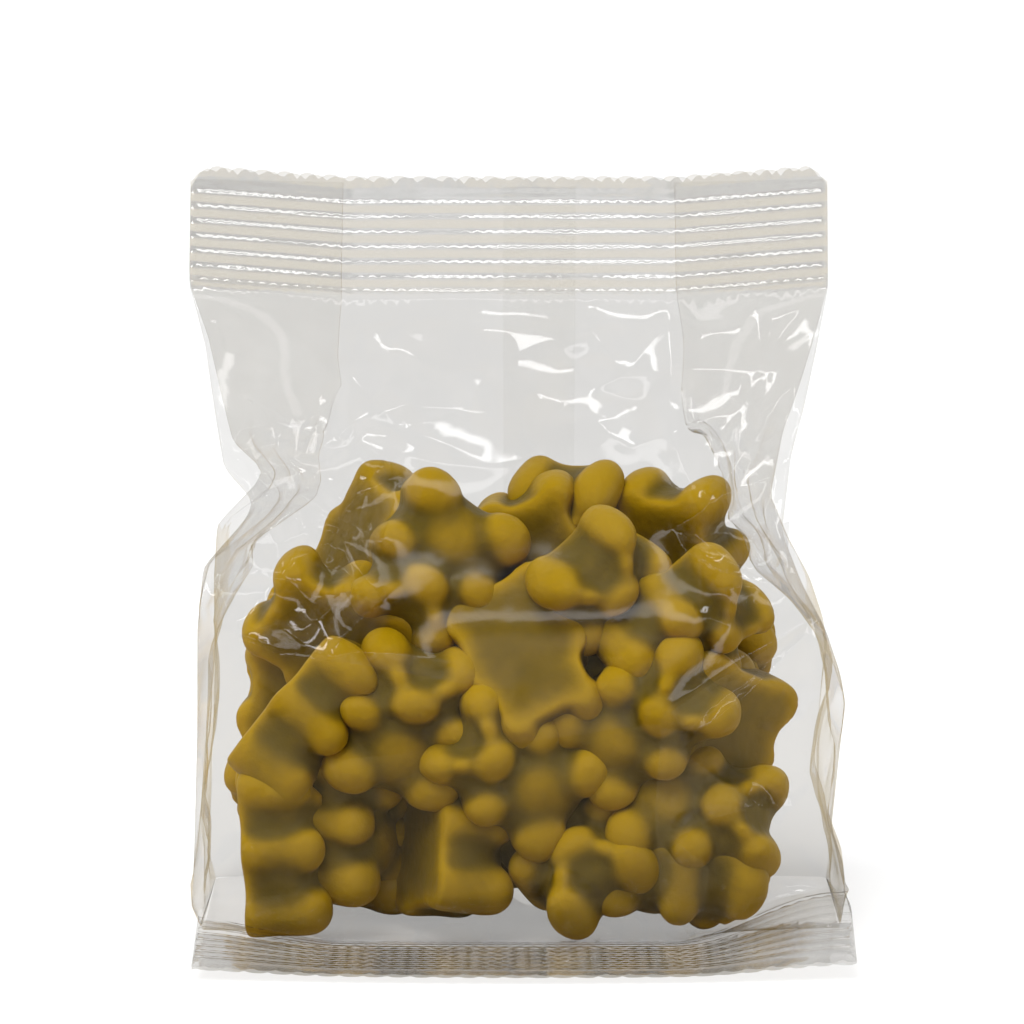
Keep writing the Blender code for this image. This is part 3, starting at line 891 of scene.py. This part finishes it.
def front_panel(rng, heap):
    creases = list(FRONT_CREASES)
    creases += crumple(rng, (-38, 62), (-24, 84), 6.5, 0.45)
    creases += crumple(rng, (-22, 70), (20, 84), 9.0, 0.35)
    creases += crumple(rng, (23, 62), (38, 84), 6.5, 0.45)
    creases += crumple(rng, (-37, 46), (-20, 62), 4.5, 0.45)
    creases += crumple(rng, (27, 46), (38, 62), 4.5, 0.45)
    creases += crumple(rng, (32, 6), (43, 40), 6.0, 0.40)
    heights = np.arange(0.0, BAG_HEIGHT - 0.4, EDGE_STEP)
    border = panel_border(lambda x: BAG_HEIGHT - 0.6 + cut_edge(x, 2.5),
                          lambda x: -SEAL_LENGTH - cut_edge(x, 5.5), heights)
    left, right = LEFT_OUTLINE[0][1], RIGHT_OUTLINE[0][1]
    fill = grid_fill(rng, (-43.5, 0.4), (45.0, SEAL_BOTTOM - 1), FILM_STEP, FILM_STEP, 0.2)
    fill += grid_fill(rng, (-43.5, SEAL_BOTTOM), (43.5, BAG_HEIGHT - 1.6), 1.6, 0.26, 0.0)
    fill += grid_fill(rng, (left + 0.3, -SEAL_LENGTH + 1.4), (right - 0.3, -0.2), 1.6, 0.26, 0.0)
    fill += lip_rows(heights)
    points, faces = sheet(border, creases, fill)
    return front_place(points, creases, heap), faces


def lip_rows(heights):
    """Rows of points close to the two folded edges of a panel."""
    found = []
    left, right = outline(heights)
    for inset in (0.06, 0.18, 0.34, 0.56):
        found += [(x + inset, z) for x, z in zip(left[1:-1], heights[1:-1])]
        found += [(x - inset, z) for x, z in zip(right[1:-1], heights[1:-1])]
    return found


def back_panel(rng, heap):
    creases = list(BACK_CREASES) + crumple(rng, (-36, 8), (38, 82), 11.0, 0.5)
    heights = np.arange(0.0, BAG_HEIGHT - 0.4, EDGE_STEP)
    border = panel_border(lambda x: BAG_HEIGHT - 0.5 + cut_edge(x + 1.1, 8.5), lambda x: 0.0 * x, heights)
    fill = grid_fill(rng, (-43.5, 0.6), (45.0, SEAL_BOTTOM - 1), 2.0, 2.0, 0.2)
    fill += grid_fill(rng, (-43.5, SEAL_BOTTOM), (43.5, BAG_HEIGHT - 1.6), 2.0, 0.34, 0.0)
    fill += lip_rows(heights)
    points, faces = sheet(border, creases, fill)
    return back_place(points, creases, heap), faces


def side_panel(rng, heap, side):
    creases = [(0.0, 1.0, 0.1, ((0.0, 0.5), (0.0, 60.0), (0.0, BAG_HEIGHT - 2.5)))]
    creases += crumple(rng, (-19, 6), (19, 46), 11.0, 0.8)
    creases += crumple(rng, (-19, 48), (19, 74), 6.5, 0.9)
    heights = np.arange(0.0, BAG_HEIGHT - 1.6, EDGE_STEP)
    border = [(SIDE_FLAT, z) for z in heights] + [(-SIDE_FLAT, z) for z in heights[::-1]]
    fill = grid_fill(rng, (-SIDE_FLAT + 1, 1.0), (SIDE_FLAT - 1, BAG_HEIGHT - 3), 2.2, 1.9, 0.2)
    points, faces = sheet(border, creases, fill)
    return side_place(points, creases, heap, side), faces


def base_panel(rng):
    left, right = LEFT_OUTLINE[0][1], RIGHT_OUTLINE[0][1]
    deep = BASE_BACK - BASE_FRONT
    across = np.linspace(left, right, 140)
    near = -SEAL_LENGTH - 0.3 - cut_edge(across + 0.9, 9.5)
    border = [(x, v) for x, v in zip(across, near)]
    border += [(right, v) for v in np.linspace(near[-1], deep, 50)[1:-1]]
    border += [(x, deep) for x in across[::-4]]
    border += [(left, v) for v in np.linspace(deep, near[0], 50)[1:-1]]
    fill = grid_fill(rng, (left + 0.8, 0.6), (right - 0.8, deep - 0.8), 2.2, 2.2, 0.2)
    fill += grid_fill(rng, (left + 0.3, -SEAL_LENGTH + 1.2), (right - 0.3, -0.2), 2.0, 0.34, 0.0)
    points, faces = sheet(border, [], fill)
    return base_place(points), faces


def tuck_panel(rng, heap, corners):
    """A small fold of film that lies over the front panel."""
    border = [(x, z) for x, z, _ in corners]
    spots = [spot for i in range(len(border))
             for spot, _ in along_line((border[i], border[(i + 1) % len(border)]), 0.8)[:-1]]
    low, high = np.min(border, axis=0), np.max(border, axis=0)
    points, faces = sheet([tuple(s) for s in spots], [], grid_fill(rng, low, high, 1.1, 1.1, 0.2))
    weights = np.zeros((len(points), len(corners)))
    for i, (x, z, _) in enumerate(corners):
        weights[:, i] = 1.0 / (np.hypot(points[:, 0] - x, points[:, 1] - z) ** 2 + 0.02)
    out = weights @ np.array([corner[2] for corner in corners]) / weights.sum(axis=1)
    return front_place(points, FRONT_CREASES, heap, out=out + 0.15), faces


def lap_seam(rng, heap):
    """The long seam down the back, where the film's two edges overlap."""
    low, high = (-0.8, 1.0), (9.1, BAG_HEIGHT - 1.8)
    heights = np.arange(low[1], high[1], 1.5)
    border = [(high[0], z) for z in heights] + [(low[0], z) for z in heights[::-1]]
    fill = grid_fill(rng, (low[0] + 1, low[1] + 1), (high[0] - 1, high[1] - 1), 2.0, 1.5, 0.1)
    points, faces = sheet(border, [], fill)
    places = back_place(points, BACK_CREASES, heap)
    places[:, 1] += 0.25
    return places, faces


def build_film(heap):
    """The whole bag as one clear piece. The front and back panels take the grey film finish, the base,
    gussets, tucks and seam take the clearer one, and the top seal and the bottom seal's fin take the
    pressed one."""
    rng = np.random.default_rng(11)
    panels = [(front_panel(rng, heap), 0, (0, -1, 0)), (back_panel(rng, heap), 0, (0, 1, 0)),
              (base_panel(rng), 1, (0, 0, -1))]
    panels += [(side_panel(rng, heap, side), 1, (side, 0, 0)) for side in (-1, 1)]
    panels += [(tuck_panel(rng, heap, corners), 1, (0, -1, 0)) for corners in TUCKS]
    panels.append((lap_seam(rng, heap), 1, (0, 1, 0)))
    points, faces, finishes = [], [], []
    for (places, triangles), finish, outwards in panels:
        first = len(points)
        points += [MIDDLE + Vector(place) * MM for place in places]
        corners = places[np.array(triangles)]
        normals = np.cross(corners[:, 1] - corners[:, 0], corners[:, 2] - corners[:, 0])
        order = 1 if normals.sum(axis=0) @ np.array(outwards) > 0 else -1
        faces += [tuple(first + i for i in triangle)[::order] for triangle in triangles]
        middles = corners.mean(axis=1)
        in_seal = middles[:, 2] > SEAL_BOTTOM + 1.0
        in_fin = middles[:, 1] < BASE_FRONT - 3.5
        in_fin &= middles[:, 2] < 0.4 * (-middles[:, 1] + BASE_FRONT) + 3.0
        pressed = (in_seal & (finish == 0)) | in_fin
        finishes += [2 if is_pressed else finish for is_pressed in pressed]
    mesh = bpy.data.meshes.new("clear_bag")
    mesh.from_pydata(points, [], faces)
    mesh.polygons.foreach_set("material_index", finishes)
    clear, clearest = (0.815, 0.811, 0.804), (0.985, 0.984, 0.980)
    mesh.materials.append(film_material("clear film", clear, (0.62, 0.61, 0.59), 0.032, 5.0))
    mesh.materials.append(film_material("clearest film", clearest, (0.88, 0.87, 0.86), 0.032, 5.0))
    mesh.materials.append(film_material("pressed film", clear, (0.74, 0.72, 0.68), 0.15, 2.6))
    mesh.shade_smooth()
    film = bpy.data.objects.new("clear_bag", mesh)
    bpy.context.collection.objects.link(film)
    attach(film, "root")
    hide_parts("bag")
    return film


def film_material(name, passes, edge, mirrored, falloff):
    """Thin glossy film: it lets light straight through, less of it where it is seen edge on, and
    mirrors the room faintly."""
    material, nodes, links = new_material(name)
    output = nodes.new("ShaderNodeOutputMaterial")
    through = nodes.new("ShaderNodeBsdfTransparent")
    depth = nodes.new("ShaderNodeMath")
    depth.operation = "POWER"
    depth.inputs[1].default_value = 3.0
    tint = nodes.new("ShaderNodeMix")
    tint.data_type = "RGBA"
    tint.inputs[6].default_value = (*passes, 1)
    tint.inputs[7].default_value = (*edge, 1)
    links.new(depth.outputs[0], tint.inputs[0])
    links.new(tint.outputs[2], through.inputs["Color"])
    mirror = nodes.new("ShaderNodeBsdfGlossy")
    mirror.inputs["Color"].default_value = (1, 1, 1, 1)
    mirror.inputs["Roughness"].default_value = 0.08
    places = nodes.new("ShaderNodeTexCoord")
    waves = nodes.new("ShaderNodeTexNoise")
    waves.inputs["Scale"].default_value = 260.0
    waves.inputs["Detail"].default_value = 2.0
    links.new(places.outputs["Object"], waves.inputs["Vector"])
    bump = nodes.new("ShaderNodeBump")
    bump.inputs["Strength"].default_value = 0.15
    bump.inputs["Distance"].default_value = 0.0002
    links.new(waves.outputs["Fac"], bump.inputs["Height"])
    links.new(bump.outputs["Normal"], mirror.inputs["Normal"])
    facing = nodes.new("ShaderNodeLayerWeight")
    facing.inputs["Blend"].default_value = 0.5
    grazing = nodes.new("ShaderNodeMath")
    grazing.operation = "POWER"
    grazing.inputs[1].default_value = falloff
    both_faces = nodes.new("ShaderNodeMath")
    both_faces.operation = "MULTIPLY_ADD"
    both_faces.inputs[1].default_value = 0.80
    both_faces.inputs[2].default_value = mirrored
    mix = nodes.new("ShaderNodeMixShader")
    links.new(facing.outputs["Facing"], grazing.inputs[0])
    links.new(facing.outputs["Facing"], depth.inputs[0])
    links.new(grazing.outputs[0], both_faces.inputs[0])
    links.new(both_faces.outputs[0], mix.inputs[0])
    links.new(through.outputs[0], mix.inputs[1])
    links.new(mirror.outputs[0], mix.inputs[2])
    links.new(mix.outputs[0], output.inputs[0])
    return material


# ------------------------------------------------------- stage, light, camera

CAMERA_ELEVATION = 10.0
CAMERA_DISTANCE = 700.0
CAMERA_TARGET = Vector((0.4, 0.0, 56.5))
LENS = 178.4


def stage_material(name, colour):
    """A pale matt floor, lit a little from within so that its shadows stay faint."""
    material, nodes, links = new_material(name)
    output = nodes.new("ShaderNodeOutputMaterial")
    shader = nodes.new("ShaderNodeBsdfDiffuse")
    shader.inputs["Color"].default_value = (*colour, 1)
    glow = nodes.new("ShaderNodeEmission")
    glow.inputs["Strength"].default_value = 1.06
    bounce = nodes.new("ShaderNodeBsdfDiffuse")
    bounce.inputs["Color"].default_value = (0.50, 0.42, 0.27, 1)
    lit = nodes.new("ShaderNodeMixShader")
    lit.inputs[0].default_value = 0.55
    seen = nodes.new("ShaderNodeLightPath")
    mix = nodes.new("ShaderNodeMixShader")
    links.new(seen.outputs["Is Camera Ray"], mix.inputs[0])
    links.new(bounce.outputs[0], mix.inputs[1])
    links.new(shader.outputs[0], lit.inputs[1])
    links.new(glow.outputs[0], lit.inputs[2])
    links.new(lit.outputs[0], mix.inputs[2])
    links.new(mix.outputs[0], output.inputs[0])
    return material


def build_stage():
    clear_selection()
    bpy.ops.mesh.primitive_plane_add(size=6.0, location=(0, 0, bag_low.z - 0.0002))
    floor = bpy.context.active_object
    floor.name = "floor"
    floor.data.materials.append(stage_material("pale floor", (0.9, 0.9, 0.9)))


def add_light(name, place, size, power, colour=(1, 1, 1), size_y=None):
    """An area light, placed in millimetres, that faces the middle of the bag."""
    data = bpy.data.lights.new(name, "AREA")
    data.energy = power
    data.color = colour
    data.shape = "RECTANGLE"
    data.size = size * MM
    data.size_y = (size_y or size) * MM
    light = bpy.data.objects.new(name, data)
    bpy.context.collection.objects.link(light)
    light.location = TO_ROW @ Vector(place)
    aim = TO_ROW @ Vector((0, 0, 45))
    light.rotation_euler = (aim - light.location).to_track_quat("-Z", "Y").to_euler()
    return light


def build_lights():
    high_key = bpy.data.lights.new("high key", "SUN")
    high_key.energy = 3.4
    high_key.angle = math.radians(40)
    key = bpy.data.objects.new("high key", high_key)
    bpy.context.collection.objects.link(key)
    key.rotation_euler = Vector((0.30, 0.42, -1.0)).to_track_quat("-Z", "Y").to_euler()
    key.visible_glossy = False
    add_light("front box", (0, -600, 390), 1000, 0.62, size_y=62)
    add_light("left strip", (-540, -190, 190), 60, 0.40, size_y=320)
    add_light("right strip", (560, -150, 230), 60, 0.40, size_y=320)
    add_light("high strip", (140, -260, 560), 300, 0.40, size_y=40)
    build_room()


def build_room():
    """White behind the bag, and around it a dim room whose softly uneven walls the film mirrors."""
    world = bpy.data.worlds.new("studio")
    world.use_nodes = True
    bpy.context.scene.world = world
    nodes, links = world.node_tree.nodes, world.node_tree.links
    nodes.clear()
    output = nodes.new("ShaderNodeOutputWorld")
    backdrop = nodes.new("ShaderNodeBackground")
    backdrop.inputs["Color"].default_value = (1, 1, 1, 1)
    room = nodes.new("ShaderNodeBackground")
    direction = nodes.new("ShaderNodeTexCoord")
    patches = nodes.new("ShaderNodeTexNoise")
    patches.inputs["Scale"].default_value = 3.2
    patches.inputs["Detail"].default_value = 1.0
    walls = nodes.new("ShaderNodeValToRGB")
    walls.color_ramp.elements[0].position = 0.42
    walls.color_ramp.elements[0].color = (0.03, 0.03, 0.03, 1)
    walls.color_ramp.elements[1].position = 0.72
    walls.color_ramp.elements[1].color = (0.8, 0.8, 0.8, 1)
    room.inputs["Strength"].default_value = 0.85
    towards = nodes.new("ShaderNodeSeparateXYZ")
    behind = nodes.new("ShaderNodeMapRange")
    behind.inputs["From Min"].default_value = 0.2
    behind.inputs["From Max"].default_value = 0.8
    sweep = nodes.new("ShaderNodeMix")
    sweep.data_type = "RGBA"
    sweep.inputs[7].default_value = (1, 1, 1, 1)
    seen = nodes.new("ShaderNodeLightPath")
    mix = nodes.new("ShaderNodeMixShader")
    links.new(direction.outputs["Generated"], patches.inputs["Vector"])
    links.new(patches.outputs["Fac"], walls.inputs["Fac"])
    links.new(direction.outputs["Generated"], towards.inputs[0])
    links.new(towards.outputs["Y"], behind.inputs["Value"])
    links.new(behind.outputs[0], sweep.inputs[0])
    links.new(walls.outputs["Color"], sweep.inputs[6])
    links.new(sweep.outputs[2], room.inputs["Color"])
    links.new(seen.outputs["Is Camera Ray"], mix.inputs[0])
    links.new(room.outputs[0], mix.inputs[1])
    links.new(backdrop.outputs[0], mix.inputs[2])
    links.new(mix.outputs[0], output.inputs[0])


def build_camera():
    data = bpy.data.cameras.new("camera")
    data.lens = LENS
    data.sensor_width = 36.0
    data.dof.use_dof = False
    data.clip_start, data.clip_end = 0.01, 20.0
    camera = bpy.data.objects.new("camera", data)
    bpy.context.collection.objects.link(camera)
    rise = math.radians(CAMERA_ELEVATION)
    away = Vector((0, -math.cos(rise), math.sin(rise))) * CAMERA_DISTANCE
    camera.location = TO_ROW @ (CAMERA_TARGET + away)
    camera.rotation_euler = (-away).to_track_quat("-Z", "Y").to_euler()
    bpy.context.scene.camera = camera
    bpy.context.scene.view_settings.view_transform = "Standard"


build_camera()
build_stage()
build_lights()
heap = build_gummies()
build_film(heap)
bpy.context.scene.cycles.transparent_max_bounces = 48
